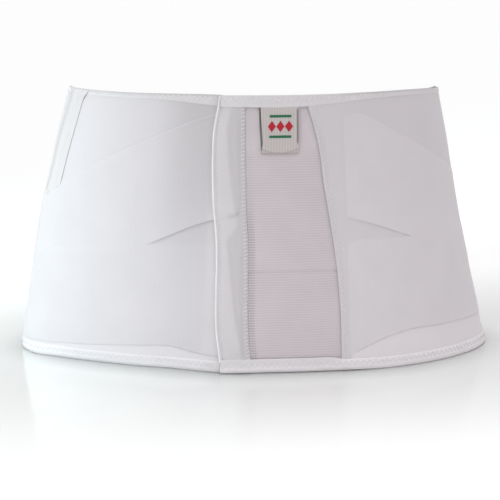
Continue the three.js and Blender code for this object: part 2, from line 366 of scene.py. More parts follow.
def through(rows, x, column=1):
    """A smooth curve through a table's rows, read at x."""
    table = np.asarray(rows)
    xs, ys = table[:, 0], table[:, column]
    slopes = np.gradient(ys, xs)
    k = np.clip(np.searchsorted(xs, x) - 1, 0, len(xs) - 2)
    span = xs[k + 1] - xs[k]
    t = np.clip((x - xs[k]) / span, 0.0, 1.0)
    start = (1.0 + 2.0 * t) * (1.0 - t) ** 2 * ys[k] + t * (1.0 - t) ** 2 * span * slopes[k]
    end = t * t * (3.0 - 2.0 * t) * ys[k + 1] + t * t * (t - 1.0) * span * slopes[k + 1]
    return start + end


def smooth_loop(points, steps=160):
    """A closed centripetal Catmull-Rom curve through the points."""
    p1 = np.asarray(points)
    p0, p2, p3 = (np.roll(p1, shift, axis=0) for shift in (1, -1, -2))
    d0, d1, d2 = (
        np.sqrt(np.linalg.norm(b - a, axis=1))[:, None]
        for a, b in ((p0, p1), (p1, p2), (p2, p3))
    )
    leave = ((p1 - p0) / d0 - (p2 - p0) / (d0 + d1) + (p2 - p1) / d1) * d1
    arrive = ((p2 - p1) / d1 - (p3 - p1) / (d1 + d2) + (p3 - p2) / d2) * d1
    t = np.linspace(0.0, 1.0, steps, endpoint=False)[None, :, None]
    p1, p2, leave, arrive = (x[:, None, :] for x in (p1, p2, leave, arrive))
    start = (2 * t**3 - 3 * t**2 + 1) * p1 + (t**3 - 2 * t**2 + t) * leave
    end = (3 * t**2 - 2 * t**3) * p2 + (t**3 - t**2) * arrive
    return (start + end).reshape(-1, 2)


def even_loop(points):
    """The loop at equal shares of its length, closed, and its length."""
    closed = np.vstack([points, points[:1]])
    run = np.concatenate([[0.0], np.cumsum(np.linalg.norm(np.diff(closed, axis=0), axis=1))])
    at = np.linspace(0.0, run[-1], STATIONS + 1)
    return np.column_stack([np.interp(at, run, closed[:, k]) for k in (0, 1)]), run[-1]


def directions(loop):
    """Unit vectors along a closed loop of even points."""
    open_loop = loop[:-1]
    along = np.roll(open_loop, -1, axis=0) - np.roll(open_loop, 1, axis=0)
    along /= np.linalg.norm(along, axis=1)[:, None]
    return np.vstack([along, along[:1]])


def rim_loop():
    turned = np.linspace(0.0, 2 * np.pi, 4 * STATIONS, endpoint=False)
    side = RIM_CENTRE[0] + RIM_HALF[0] * np.sin(turned)
    depth = RIM_CENTRE[1] - RIM_HALF[1] * np.cos(turned)
    return np.column_stack([side, depth])


FOOT, FOOT_LENGTH = even_loop(smooth_loop(FOOT_PLAN))
RIM, RIM_LENGTH = even_loop(rim_loop())
ALONG = directions(FOOT) + directions(RIM)
ALONG /= np.linalg.norm(ALONG, axis=1)[:, None]
OUTWARDS = np.column_stack([ALONG[:, 1], -ALONG[:, 0]])


def around(loop, turn):
    run = (turn % 1.0) * STATIONS
    k = np.minimum(run.astype(int), STATIONS - 1)
    return lerp(loop[k], loop[k + 1], (run - k)[:, None])


def lean(turn, z):
    """How far the wall stands out at its sides and at the left front corner."""
    once = turn % 1.0
    left = between(once, *LEFT_LEANS) * through(SIDE_LEAN, z, 1)
    right = between(once, *RIGHT_LEANS) * through(SIDE_LEAN, z, 2)
    return left + right + CORNER_OUT * between(once, *CORNER_AT) * soft_step(z, *CORNER_GROWS)


def place(turn, z, n):
    """Points in metres for arrays of turn, height and distance outwards."""
    share = z / FRONT_HEIGHT
    belly = BELLY * 4.0 * share * (1.0 - share) + lean(turn, z)
    plan = lerp(around(FOOT, turn), around(RIM, turn), share[:, None])
    plan = plan + around(OUTWARDS, turn) * (n + belly)[:, None]
    return np.column_stack([plan, z]) * MM


def girth(z):
    return lerp(FOOT_LENGTH, RIM_LENGTH, z / FRONT_HEIGHT)


def rim_height(turn):
    """The rim rises and falls a little at the sides, and lies lower at the back."""
    dip = BACK_DIP * np.maximum(0.0, -np.cos(2 * np.pi * turn))
    return FRONT_HEIGHT + through(RIM_RISE, turn) - dip


def tuck(turn):
    return -TUCK_DEPTH * soft_step(turn, TUCK_STARTS, TUCK_FULL)


def slack(turn, z):
    """Slow swells of cloth that hem and rim hold and nothing pulls tight between. They are weaker in
    front, where the flap is pulled tight."""
    swell = sum(
        size * np.sin(waves * 2 * np.pi * turn + z / rise + start) for size, waves, rise, start in SWELLS
    )
    swell = swell * lerp(0.35, 1.0, soft_step(np.abs(turn - np.round(turn)), 0.05, 0.12))
    return swell * np.sin(np.pi * np.clip(z / FRONT_HEIGHT, 0.0, 1.0))


def lie(turn, z):
    return tuck(turn) + slack(turn, z)


def pressed(turn, z):
    """How far the elastic bands press the knit in under them."""
    share = soft_step(turn, BAND_START - 0.004, BAND_START + 0.008)
    inside = 0.0
    for table in (UPPER_BAND, LOWER_BAND):
        low, high = through(table, turn, 1), through(table, turn, 2)
        covered = soft_step(z - low, 1.0, 8.0) * soft_step(high - z, 1.0, 8.0)
        inside = np.maximum(inside, covered)
    return BAND_PRESS * share * inside


panel_edge = partial(through, PANEL_EDGE)
flap_edge = partial(through, FLAP_EDGE)
strip_edge = partial(through, STRIP_EDGE)
lower_low = partial(through, LOWER_BAND, column=1)
lower_high = partial(through, LOWER_BAND, column=2)
upper_high = partial(through, UPPER_BAND, column=2)


def upper_low(turn):
    """The upper band goes under the lower one, so it shows down to that band's upper edge."""
    return np.maximum(through(UPPER_BAND, turn, 1), lower_high(turn))


def slot_inner(turn):
    """Inner face of the slot in a binding: over the flap it also takes in the mesh."""
    mesh_end = PANEL_EDGE[0][1] + MESH_UNDERLAP
    return tuck(turn) - TAPE_GAP + MESH_INNER * soft_fall(turn, mesh_end, mesh_end + SLOT_NARROWS)


def slot_outer(turn):
    return tuck(turn) + WALL + TAPE_GAP


def start_piece():
    if bpy.context.mode != "OBJECT":
        bpy.ops.object.mode_set(mode="OBJECT")
    bpy.ops.object.select_all(action="DESELECT")


def pick(piece):
    """Selects one piece alone."""
    start_piece()
    piece.select_set(True)
    bpy.context.view_layer.objects.active = piece


def edit_all():
    bpy.ops.object.mode_set(mode="EDIT")
    bpy.ops.mesh.select_all(action="SELECT")


def apply_modifier(piece, kind, **settings):
    modifier = piece.modifiers.new(kind.title(), kind)
    for key, value in settings.items():
        setattr(modifier, key, value)
    bpy.context.view_layer.objects.active = piece
    bpy.ops.object.modifier_apply(modifier=modifier.name)


def set_uv(mesh, uv):
    """Gives each corner of a mesh the UV place of its point."""
    corners = np.empty(len(mesh.loops), dtype=np.int32)
    mesh.loops.foreach_get("vertex_index", corners)
    mesh.uv_layers[0].data.foreach_set("uv", uv[corners].ravel())


def soften(piece, degrees=50.0):
    pick(piece)
    bpy.ops.object.shade_smooth_by_angle(angle=math.radians(degrees))


def lay_grid(name, grid, lay):
    """Adds a grid and lays it on the wall. lay takes shares across and up, and gives turn, z, n and a
    UV map in millimetres. It may also give a mark for each place, which lays painted shade or painted light
    into the cloth's colour there."""
    start_piece()
    bpy.ops.mesh.primitive_grid_add(x_subdivisions=grid[0], y_subdivisions=grid[1], size=1.0)
    piece = bpy.context.active_object
    piece.name = name
    mesh = piece.data
    mesh.name = name
    flat = np.empty(3 * len(mesh.vertices))
    mesh.vertices.foreach_get("co", flat)
    shares = flat.reshape(-1, 3) + 0.5
    turn, z, n, u, v, *painted_shading = lay(shares[:, 0], shares[:, 1])
    mesh.vertices.foreach_set("co", place(turn, z, n).ravel())
    set_uv(mesh, np.column_stack([u, v]))
    if painted_shading:
        mesh.attributes.new("painted_shading", "FLOAT", "POINT").data.foreach_set("value", painted_shading[0])
    mesh.update()
    return piece


def lay_cloth(name, grid, lay, thickness):
    """A sheet whose outer face is laid by lay, with its thickness inwards."""
    piece = lay_grid(name, grid, lay)
    apply_modifier(piece, "SOLIDIFY", thickness=thickness * MM, offset=-1.0)
    soften(piece)
    return piece


def close_tube(piece):
    """Joins the long seam of a rolled grid, and closes both ends."""
    pick(piece)
    edit_all()
    bpy.ops.mesh.remove_doubles(threshold=0.01 * MM)
    bpy.ops.mesh.fill_holes(sides=0)
    bpy.ops.mesh.normals_make_consistent(inside=False)
    soften(piece)


def join(pieces, name):
    start_piece()
    for piece in pieces:
        piece.select_set(True)
    bpy.context.view_layer.objects.active = pieces[0]
    bpy.ops.object.join()
    joined = bpy.context.active_object
    joined.name = name
    joined.data.name = name
    return joined


def one_stitch():
    """One stitch of thread along Z: a flattened bead of few faces."""
    start_piece()
    bpy.ops.mesh.primitive_uv_sphere_add(segments=6, ring_count=6, radius=1.0)
    stitch = bpy.context.active_object
    edit_all()
    bpy.ops.transform.resize(value=(1.0, 0.85, 1.0))
    bpy.ops.object.mode_set(mode="OBJECT")
    return stitch


def sew(name, starts, ends, depth, radius, arch):
    """A row of stitches. Starts and ends are rows of (turn, z), depth gives the cloth's outer face
    there, and arch is how far the middle of a stitch stands out."""
    stitch = one_stitch()
    shape = stitch.data
    bead = np.array([vertex.co[:] for vertex in shape.vertices])
    # Blender gives a sphere's faces in no fixed order, so they are sorted.
    faces = [np.array(face) for face in sorted(tuple(face.vertices) for face in shape.polygons)]
    count = len(starts)
    along = (bead[:, 2] + 1.0) / 2.0
    run = (ends - starts) * np.column_stack([girth(starts[:, 1]), np.ones(count)])
    reach = np.linalg.norm(run, axis=1)
    across = np.column_stack([-run[:, 1], run[:, 0]]) / reach[:, None]
    middle = starts[:, None, :] + (ends - starts)[:, None, :] * along[None, :, None]
    z = middle[..., 1] + radius * bead[None, :, 0] * across[:, 1:2]
    turn = middle[..., 0] + radius * bead[None, :, 0] * across[:, 0:1] / girth(z)
    turn, z = turn.ravel(), z.ravel()
    hump = np.tile(arch * (1.0 - bead[:, 2] ** 2) + radius * bead[:, 1], count)
    points = place(turn, z, depth(turn, z) + hump)
    mesh = bpy.data.meshes.new(name)
    mesh.from_pydata(
        points.tolist(),
        [],
        [(face + k * len(bead)).tolist() for k in range(count) for face in faces],
    )
    uv = np.column_stack([np.repeat(np.arange(count), len(bead)) * STITCH_APART, np.tile(along, count)])
    uv[:, 1] *= np.repeat(reach, len(bead))
    mesh.uv_layers.new(name="UVMap")
    set_uv(mesh, uv)
    mesh.update()
    bpy.data.objects.remove(stitch)
    row = bpy.data.objects.new(name, mesh)
    bpy.context.scene.collection.objects.link(row)
    pick(row)
    edit_all()
    bpy.ops.mesh.normals_make_consistent(inside=False)
    soften(row, 80.0)
    return row


def feed(tree, made, inputs):
    """Links or sets a node's inputs."""
    for key, value in inputs.items():
        if isinstance(value, bpy.types.NodeSocket):
            tree.links.new(value, made.inputs[key])
        else:
            made.inputs[key].default_value = value


def node(tree, kind, inputs=None, **settings):
    made = tree.nodes.new(kind)
    for key, value in settings.items():
        setattr(made, key, value)
    feed(tree, made, inputs or {})
    return made


def new_finish(name):
    """A new material, its nodes and its surface shader."""
    material = bpy.data.materials.new(name)
    material.use_nodes = True
    return material, material.node_tree, material.node_tree.nodes["Principled BSDF"]


def maths(tree, operation, a, b, c=0.0):
    made = node(tree, "ShaderNodeMath", {0: a, 1: b}, operation=operation)
    if operation == "MULTIPLY_ADD":
        made.inputs[2].default_value = c
    return made.outputs[0]


def weighed(tree, a, share_a, b, share_b):
    """The sum of two heights, each by its share."""
    return maths(tree, "ADD", maths(tree, "MULTIPLY", a, share_a), maths(tree, "MULTIPLY", b, share_b))


def ripples(tree, uv, direction, period, wander=0.0):
    """Even ridges across a cloth, one to each period of its UV map."""
    wave = node(
        tree,
        "ShaderNodeTexWave",
        {"Vector": uv, "Scale": WAVE_UNIT / period, "Distortion": wander, "Detail": 1.0},
        bands_direction=direction,
    )
    return wave.outputs["Fac"]


def noise(tree, vector, scale, detail=3.0):
    inputs = {"Vector": vector, "Scale": scale, "Detail": detail}
    return node(tree, "ShaderNodeTexNoise", inputs).outputs["Fac"]


def ramp(tree, factor, dark, light, low=0.0, high=1.0):
    made = node(tree, "ShaderNodeValToRGB", {"Fac": factor})
    first, last = made.color_ramp.elements
    first.position = low
    first.color = (*dark, 1.0)
    last.position = high
    last.color = (*light, 1.0)
    return made.outputs["Color"]


def deeper(colour, share):
    return tuple(channel * share for channel in colour)


def cloth(name, colour, weave, shade=0.86, roughness=0.84, sheen=0.25, painted_shading=None):
    """A cloth's finish. weave gives the height of its threads from its UV map; shade is how dark the
    painted shade in the gaps between the threads is, and the painted-shading pair how dark gaps and threads
    are painted where the piece's mark lays on painted shade, or how light where the pair is above 1.
    Where its mark is below 0 they are painted lighter instead."""
    material, tree, surface = new_finish(name)
    uv = node(tree, "ShaderNodeUVMap").outputs["UV"]
    where = node(tree, "ShaderNodeTexCoord").outputs["Object"]
    threads = weave(tree, uv)
    mottle = noise(tree, where, MOTTLE)
    fuzz = noise(tree, where, FUZZ, 2.0)
    tone = weighed(tree, threads, THREADS_IN_TONE, mottle, MOTTLE_IN_TONE)
    # Painted shade: the gaps between the threads are coloured darker than the threads.
    base = ramp(tree, tone, deeper(colour, shade), colour, 0.1, 0.75)
    # The piece's mark mixes painted shade, or painted light, into the colour of gaps and threads.
    if painted_shading:
        marked = node(tree, "ShaderNodeAttribute", attribute_name="painted_shading").outputs["Fac"]
        shaded = ramp(tree, threads, deeper(colour, painted_shading[0]), deeper(colour, painted_shading[1]), 0.2, 0.8)
        mix = {0: marked, 6: base, 7: shaded}
        base = node(tree, "ShaderNodeMix", mix, data_type="RGBA", clamp_factor=False).outputs[2]
    height = maths(tree, "ADD", threads, maths(tree, "MULTIPLY", fuzz, 0.35))
    relief = {"Height": height, "Strength": 0.35, "Distance": THREAD_RELIEF}
    looks = {
        "Base Color": base,
        "Roughness": maths(tree, "MULTIPLY_ADD", mottle, 0.14, roughness - 0.07),
        "Sheen Weight": sheen,
        "Sheen Roughness": 0.45,
        "Specular IOR Level": 0.25,
        "Normal": node(tree, "ShaderNodeBump", relief).outputs["Normal"],
    }
    feed(tree, surface, looks)
    return material


def crossed(first, second):
    """A weave of two sets of ridges, each as direction, period, wander and share of the height."""

    def weave(tree, uv):
        ridges = [ripples(tree, uv, *threads[:3]) for threads in (first, second)]
        return weighed(tree, ridges[0], first[3], ridges[1], second[3])

    return weave


# Fine upright wales with courses across them; close weft ridges with lines of rubber along the band; fine
# cords along a narrow tape; and satin with fine upright lines.
knit_weave = crossed(("X", 1.1, 0.6, 0.6), ("Y", 0.8, 0.4, 0.4))
band_weave = crossed(("X", 1.3, 0.5, 0.7), ("Y", 1.2, 0.3, 0.3))
tape_weave = crossed(("Y", 1.0, 0.3, 0.6), ("X", 0.9, 0.5, 0.4))
tag_weave = crossed(("X", 2.4, 0.2, 0.75), ("Y", 0.5, 0.4, 0.25))


def brushed_weave(tree, uv):
    """A brushed loop cloth with faint dots of its ground."""
    return maths(tree, "MULTIPLY", *(ripples(tree, uv, way, 1.6, 1.2) for way in ("X", "Y")))


def satin_weave(tree, uv):
    return ripples(tree, uv, "X", 0.6, 0.8)


def twisted_thread(tree, uv):
    return ripples(tree, uv, "DIAGONAL", 0.8, 0.2)


def mesh_finish(colour, rib, hole):
    """The open mesh: ribs across, with a row of holes painted dark along the groove between two ribs, as
    painted shade for the openings.
    """

    def weave(tree, uv):
        ribs = ripples(tree, uv, "Y", rib)
        posts = ripples(tree, uv, "X", hole, 0.5)
        return maths(tree, "MAXIMUM", ribs, maths(tree, "MULTIPLY", posts, 0.8))

    return cloth("mesh_cloth", colour, weave, shade=0.81, roughness=0.8, painted_shading=(0.52, 0.95))


def dress(piece, material, slot, *nodes):
    """Gives a piece its finish and its place in the frame."""
    piece.data.materials.clear()
    piece.data.materials.append(material)
    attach(piece, BODY)
    if nodes:
        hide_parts(*nodes)


def painted_shade_beside_flap(turn, z):
    """How far painted shade is laid on the left side beside the flap, most in its upper part."""
    return between(turn, *PAINTED_SHADE_BESIDE_FLAP) * lerp(0.4, 1.0, soft_step(z, 60.0, 190.0))


def panel_fold(inwards):
    """Relief of the panel's front edge, which is folded back and sewn down."""
    return 0.3 * soft_fall(inwards, 5.4, 7.4) - 0.25 * ridge(inwards, 6.4, 0.8)


def lay_body(across, up):
    edge = panel_edge(lerp(CUT_IN, FRONT_HEIGHT - CUT_IN, up))
    turn = edge + (LEFT_END - edge) * (0.25 * across + 0.75 * across**2)
    z = lerp(CUT_IN, rim_height(turn) - CUT_IN, up)
    inwards = (turn - edge) * girth(z)
    fold = panel_fold(inwards) - rounding(inwards, 1.1, 0.9)
    n = WALL + lie(turn, z) + fold - pressed(turn, z)
    # The knit's mark lays painted light on the left side and below the lower band, and painted shade beside
    # the flap.
    below = soft_step(lower_low(turn) - z, -1.0, 1.0) * soft_step(inwards, 8.0, 12.0)
    tone = (KNIT_TONE + LEFT_PAINTED_LIGHTER * soft_step(turn, 0.6, 0.8)) * (1.0 - painted_shade_beside_flap(turn, z))
    return turn, z, n, turn * FOOT_LENGTH, z, lerp(tone, 1.0, below)


class BRACE_OT_body_panel(bpy.types.Operator):
    """Lay the elastic knit from the curved front edge round the back to the left end"""

    bl_idname = "brace.body_panel"
    bl_label = "Body panel"

    def execute(self, context):
        piece = lay_cloth("elastic_body", BODY_GRID, lay_body, WALL)
        colours = context.scene.brace_colours
        # The knit's ground is its painted shade beside the flap; the pair gives its painted light.
        finish = cloth("elastic_knit", deeper(colours.knit, KNIT_GROUND), knit_weave, painted_shading=KNIT_PAINTED_LIGHTEST)
        dress(piece, finish, "knit", "body_panel")
        return {"FINISHED"}


def lay_mesh(rib, across, up):
    z = lerp(CUT_IN, FRONT_HEIGHT - CUT_IN, up)
    turn = lerp(flap_edge(z), panel_edge(z) + MESH_UNDERLAP, across)
    ribs = 0.1 * np.cos(2 * np.pi * z / rib)
    crease = 0.35 * ridge(z, 96.0, 5.0) - 0.9 * ridge(z, 91.5, 1.3)
    n = MESH_OUTER + lie(turn, z) + ribs + crease
    # Painted shade on the mesh beside the strip, weaker above 130 mm, and painted light near the top beside
    # the tag.
    painted_shade_beside_strip = soft_fall((turn - strip_edge(z)) * girth(z), 4.5, 7.5)
    painted_light_beside_tag = soft_step(z, 192.0, 206.0)
    painted_shading = painted_shade_beside_strip * (1.0 - 0.8 * soft_step(z, 130.0, 165.0)) - 0.5 * painted_light_beside_tag
    return turn, z, n, turn * FOOT_LENGTH, z, painted_shading


class BRACE_OT_mesh_panel(bpy.types.Operator):
    """Lay the open mesh between the flap's end and the right panel"""

    bl_idname = "brace.mesh_panel"
    bl_label = "Mesh panel"

    def execute(self, context):
        sizes = context.scene.brace_sizes
        rib = mm(sizes.mesh_rib)
        piece = lay_cloth("open_mesh", MESH_GRID, partial(lay_mesh, rib), MESH)
        finish = mesh_finish(context.scene.brace_colours.mesh, rib, mm(sizes.mesh_hole))
        dress(piece, finish, "mesh", "mesh_panel")
        return {"FINISHED"}


def strip_crest(z):
    """How far from the flap's end the strip is fullest, over the ends of the two bands."""
    upper = lerp(18.0, 10.5, np.clip((z - 145.0) / 75.0, 0.0, 1.0))
    lower = lerp(18.0, 8.0, np.clip((z - 30.0) / 85.0, 0.0, 1.0))
    return lerp(lower, upper, soft_step(z, 119.0, 137.0))


def strip_depth(turn, z):
    """Outer face of the closure strip: stitched flat along both sides and padded between them, most
    where the bands lie under it."""
    edge = flap_edge(z)
    width = (strip_edge(z) - edge) * girth(z)
    inwards = (turn - edge) * girth(z)
    crest = strip_crest(z)
    falls = 1.0 - 0.35 * soft_step(inwards, crest, crest + 4.0)
    pad = between(inwards, 2.0, crest, width - 8.0, width - 3.5) * falls
    upper_line = 139.5 + 0.3 * inwards
    upper = between(z, upper_line - 1.6, upper_line + 2.0, 222.0, 241.0)
    lower = between(z, 12.0, 26.0, 106.0, 119.0)
    seam = ridge(inwards, 2.0, 1.0)
    crease = 1.2 * pad * ridge(z, upper_line - 0.8, 1.0)
    return STRIP + lie(turn, z) + pad * (0.3 + 1.8 * np.maximum(upper, lower)) - seam - crease


def lay_strip(across, up):
    z = lerp(CUT_IN, FRONT_HEIGHT - CUT_IN, up)
    turn = lerp(flap_edge(z), strip_edge(z), across)
    width = (strip_edge(z) - flap_edge(z)) * girth(z)
    n = strip_depth(turn, z) - rounding(width * (1.0 - across), 2.5, 0.9)
    # Painted shade on the strip beyond the pad's crest, the side turned from the key light.
    painted_pad_shade = soft_step(width * across - strip_crest(z), -2.0, 2.5)
    return turn, z, n, turn * FOOT_LENGTH, z, painted_pad_shade


class BRACE_OT_closure_strip(bpy.types.Operator):
    """Lay the padded strip at the flap's end"""

    bl_idname = "brace.closure_strip"
    bl_label = "Closure strip"

    def execute(self, context):
        piece = lay_cloth("hook_strip", STRIP_GRID, lay_strip, STRIP)
        finish = cloth("brushed_cloth", context.scene.brace_colours.strip, brushed_weave, painted_shading=(0.8, 0.9))
        dress(piece, finish, "strip", "closure_strip")
        return {"FINISHED"}


def roll_depth(z):
    """How much deeper than round the rolled edge is on its inner side, where it binds the flap's layers:
    less over the raised edge of the upper band, and not at its ends."""
    raised = between(z, 122.0, 134.0, 152.0, 172.0)
    return lerp(1.0, lerp(3.6, 2.7, raised), between(z, 11.0, 22.0, 228.0, 240.0))


def lay_roll(radius, across, up):
    z = lerp(ROLL_FOOT, ROLL_TOP, across)
    turned = 2 * np.pi * up
    thick = radius * (1.0 + 0.06 * np.sin(z / 4.1) + 0.05 * np.sin(z / 1.7))
    turn = flap_edge(z) - (0.9 * radius - thick * np.cos(turned)) / girth(z)
    outwards = np.sin(turned)
    deep = np.where(outwards < 0.0, roll_depth(z), 1.0)
    n = 0.5 + slack(turn, z) + thick * outwards * deep
    return turn, z, n, turned * radius, z


class BRACE_OT_flap_edge(bpy.types.Operator):
    """Roll the bright edge along the flap's end"""

    bl_idname = "brace.flap_edge"
    bl_label = "Flap edge"

    def execute(self, context):
        radius = mm(context.scene.brace_sizes.edge_roll)
        piece = lay_grid("rolled_edge", ROLL_GRID, partial(lay_roll, radius))
        close_tube(piece)
        satin = context.scene.brace_colours.roll
        finish = cloth("satin_roll", satin, satin_weave, shade=0.94, roughness=0.5, sheen=0.1)
        dress(piece, finish, "edge", "flap_edge")
        return {"FINISHED"}


def fold_section(up, reach, turn, lift=0.0):
    """Section of a tape folded over an edge, from the free end of its outer leg to that of its inner
    leg: distance outwards, and distance back from the edge. The outer side of the fold may be lifted."""
    inner, outer = slot_inner(turn), slot_outer(turn)
    half = (outer - inner) / 2.0 + TAPE
    middle = (outer + inner) / 2.0
    leg = 0.38
    crown = np.clip((up - leg) / (1.0 - 2.0 * leg), 0.0, 1.0) * np.pi
    n = middle + half * np.cos(crown)
    round_back = FOLD_BULGE * (1.0 - np.sin(crown)) + lift * ((1.0 + np.cos(crown)) / 2.0) ** 1.2
    round_back = round_back - round_back.min()
    down = np.maximum(0.0, np.maximum(leg - up, up - (1.0 - leg)) / leg)
    return n, lerp(round_back, reach, down)


def hem_dip(turn, back):
    """How far the hem's free edge lies down on the mesh, which is thinner than the cloth beside it."""
    return 0.5 * between(turn, -0.016, -0.011, 0.055, 0.061) * soft_step(back, 4.0, 13.0)


def tape_relief(zigzag, along, back, reach):
    """The tape puckers at its stitches, and its free edge is rounded."""
    puckers = 0.07 * ridge(back, 4.6, 3.0) * np.cos(2 * np.pi * along / zigzag)
    return puckers - rounding(reach - back, 0.9, 0.25)


def lay_top(depth, zigzag, across, up):
    turn = lerp(FLAP_EDGE[-1][1], LEFT_END, across)
    reach = depth * np.where(up < 0.5, through(RIM_REACH, turn), 1.0)
    n, back = fold_section(up, reach, turn)
    outer_leg = soft_step(0.5 - up, 0.0, 0.1)
    n = n + outer_leg * tape_relief(zigzag, turn * RIM_LENGTH, back, reach)
    # Painted shade on the crown of the rim tape's fold, more on the sides than in front.
    sides = np.maximum(between(turn, 0.04, 0.1, 0.35, 0.5), 0.8 * soft_step(turn, 0.6, 0.8))
    crown = soft_fall(back, 0.9, 3.0) * soft_step(0.65 - up, 0.0, 0.1)
    painted_shading = lerp(0.3, 1.0, sides) * crown
    return turn, rim_height(turn) - back, n, turn * RIM_LENGTH, back * np.sign(0.5 - up), painted_shading


def lay_hem(depth, zigzag, across, up):
    start = FLAP_EDGE[0][1] - HEM_PAST_FLAP
    turn = lerp(start, LEFT_END, across)
    front = (up > 0.5) * soft_fall(turn, 0.048, 0.066)
    reach = depth + HEM_TALLER * front
    n, back = fold_section(1.0 - up, reach, turn, HEM_LIFT)
    end = rounding((turn - start) * FOOT_LENGTH, 3.0, 0.9)
    relief = tape_relief(zigzag, turn * FOOT_LENGTH, back, reach) - end - hem_dip(turn, back)
    n = n + soft_step(up - 0.5, 0.0, 0.1) * relief
    # Painted shade on the upper part of the hem's taller front.
    painted_shading = 0.6 * front * soft_step(back, 5.0, 10.0)
    return turn, back, n, turn * FOOT_LENGTH, back * np.sign(up - 0.5), painted_shading


class BRACE_OT_bindings(bpy.types.Operator):
    """Fold the tapes over the rim and under the lower edge"""

    bl_idname = "brace.bindings"
    bl_label = "Bindings"

    def execute(self, context):
        sizes, colours = context.scene.brace_sizes, context.scene.brace_colours
        top, hem, zigzag = mm(sizes.top_binding), mm(sizes.hem), mm(sizes.zigzag)
        for name, lay, solid, width, edge, colour in (
            ("top_tape", partial(lay_top, top, zigzag), "top_binding", 0.022, RIM_LENGTH, colours.rim),
            ("hem_tape", partial(lay_hem, hem, zigzag), "bottom_binding", 0.024, FOOT_LENGTH, colours.hem),
        ):
            piece = lay_cloth(name, TAPE_GRID, lay, TAPE)
            finish = cloth(f"{name}_weave", colour, tape_weave, shade=0.88, painted_shading=(0.68, 0.78))
            dress(piece, finish, "binding", solid)
        return {"FINISHED"}


def lay_band(low, high, relief, across, up):
    turn = lerp(BAND_START, LEFT_END, 0.75 * across + 0.25 * across**2)
    share = (1.0 - np.cos(np.pi * up)) / 2.0
    z = lerp(low(turn), high(turn), share)
    below, above = z - low(turn), high(turn) - z
    sewn_end = 0.75 * soft_fall((turn - BAND_START) * girth(z), 0.0, 16.0)
    n = BAND_OUTER + lie(turn, z) + relief(turn, z, below, above) - sewn_end
    # The band's mark lays painted shade on it beside the flap.
    return turn, z, n, turn * FOOT_LENGTH, below, painted_shade_beside_flap(turn, z)


def upper_relief(turn, z, below, above):
    """The upper band's lower edge stands off where it is pulled towards the flap, and its upper edge has
    a raised selvedge."""
    pulled = np.maximum(soft_step(turn, 0.887, 0.9), 0.35 * soft_fall(turn, 0.1, 0.125))
    selvedge = 0.65 * ridge(above, 2.0, 1.3) * soft_step(turn, 0.84, 0.92)
    return pulled * soft_fall(below, 0.0, 18.0) + selvedge - 0.38 * soft_fall(above, 0.0, 5.0)


def lower_relief(turn, z, below, above):
    """The lower band swells where the upper one goes on under it, its upper edge lies flush and its lower
    edge stands off."""
    hidden = through(UPPER_BAND, turn, 1)
    swell = 0.5 * soft_step(z, hidden - 8.0, hidden + 5.0) * soft_step(above, 0.0, 9.0)
    bare = np.maximum(soft_step(turn, 0.88, 0.9), soft_fall(turn, 0.11, 0.13))
    flush = 0.4 * bare * soft_fall(above, 0.0, 5.0)
    apart = np.maximum(soft_step(turn, 0.82, 0.9), soft_fall(turn, 0.2, 0.3))
    off = 0.22 * apart * soft_fall(below, 0.0, 12.0)
    return swell - flush + off - rounding(below, 1.2, 0.45)


class BRACE_OT_bands(bpy.types.Operator):
    """Lay the two elastic bands round the body"""

    bl_idname = "brace.bands"
    bl_label = "Elastic bands"

    def execute(self, context):
        woven = context.scene.brace_colours.band
        elastic = cloth("woven_elastic", woven, band_weave, shade=0.9, painted_shading=(0.79, 0.87))
        for name, low, high, relief, solid, shown in (
            ("upper_elastic", upper_low, upper_high, upper_relief, "upper_band", 0.065),
            ("lower_elastic", lower_low, lower_high, lower_relief, "lower_band", 0.098),
        ):
            piece = lay_cloth(name, BAND_GRID, partial(lay_band, low, high, relief), BAND)
            dress(piece, elastic, "band", solid)
        return {"FINISHED"}


def tag_crease(sides):
    """Height of the curved crease above the tag's fold; sides is 1 at its sides and 0 in its middle."""
    return LABEL_LOW + 1.8 + 3.6 * sides


def tag_front(turn, z):
    """Outer face of the tag's front ply, which stands off a little at its sides."""
    left = through(LABEL_EDGE, z)
    share = (turn - left) / (LABEL_TO - left)
    hang = (z - LABEL_LOW) / (FRONT_HEIGHT - LABEL_LOW)
    sides = (2.0 * share - 1.0) ** 2
    free = np.sin(np.pi * np.clip(hang / 0.82, 0.0, 1.0))
    crease = 0.35 * ridge(z, tag_crease(sides), 0.8)
    return 1.4 + free * (0.5 + 0.9 * sides) + slack(turn, z) + crease


def lay_tag(across, up):
    back = soft_step(0.5 - up, -0.03, 0.03)
    z = lerp(LABEL_LOW, FRONT_HEIGHT - LABEL_TUCK, np.abs(2.0 * up - 1.0))
    aside = 0.0016 * (1.0 - back) * soft_step(z, 200.0, 208.0) * (1.0 - across)
    turn = lerp(through(LABEL_EDGE, z), LABEL_TO, across) + aside
    n = lerp(tag_front(turn, z), slack(turn, z), back)
    # The tag's mark lays painted shade on the back ply inside the fold, in the gap along the front ply's
    # right edge, and along the crease.
    right = soft_step(across, 0.95, 0.965) * between(z, 206.0, 209.0, 236.0, 239.0)
    line = 0.4 * ridge(z, tag_crease((2.0 * across - 1.0) ** 2) - 0.8, 0.6)
    return turn, z, n, turn * RIM_LENGTH, z, np.maximum.reduce([back, right, line])


def lay_patch(patch, diamond, across, up):
    side, height, width, tall = patch
    x, y = across - 0.5, up - 0.5
    if diamond:
        x, y = (across - up) / 2.0, (across + up - 1.0) / 2.0
    turn = lerp(LABEL_EDGE[0][1], LABEL_TO, 0.5) + (side + width * x) / RIM_LENGTH
    z = height + tall * y
    threads = 0.06 * np.cos(2 * np.pi * width * x / 0.7)
    return turn, z, tag_front(turn, z) + PATCH_OUT + threads, width * x, tall * y


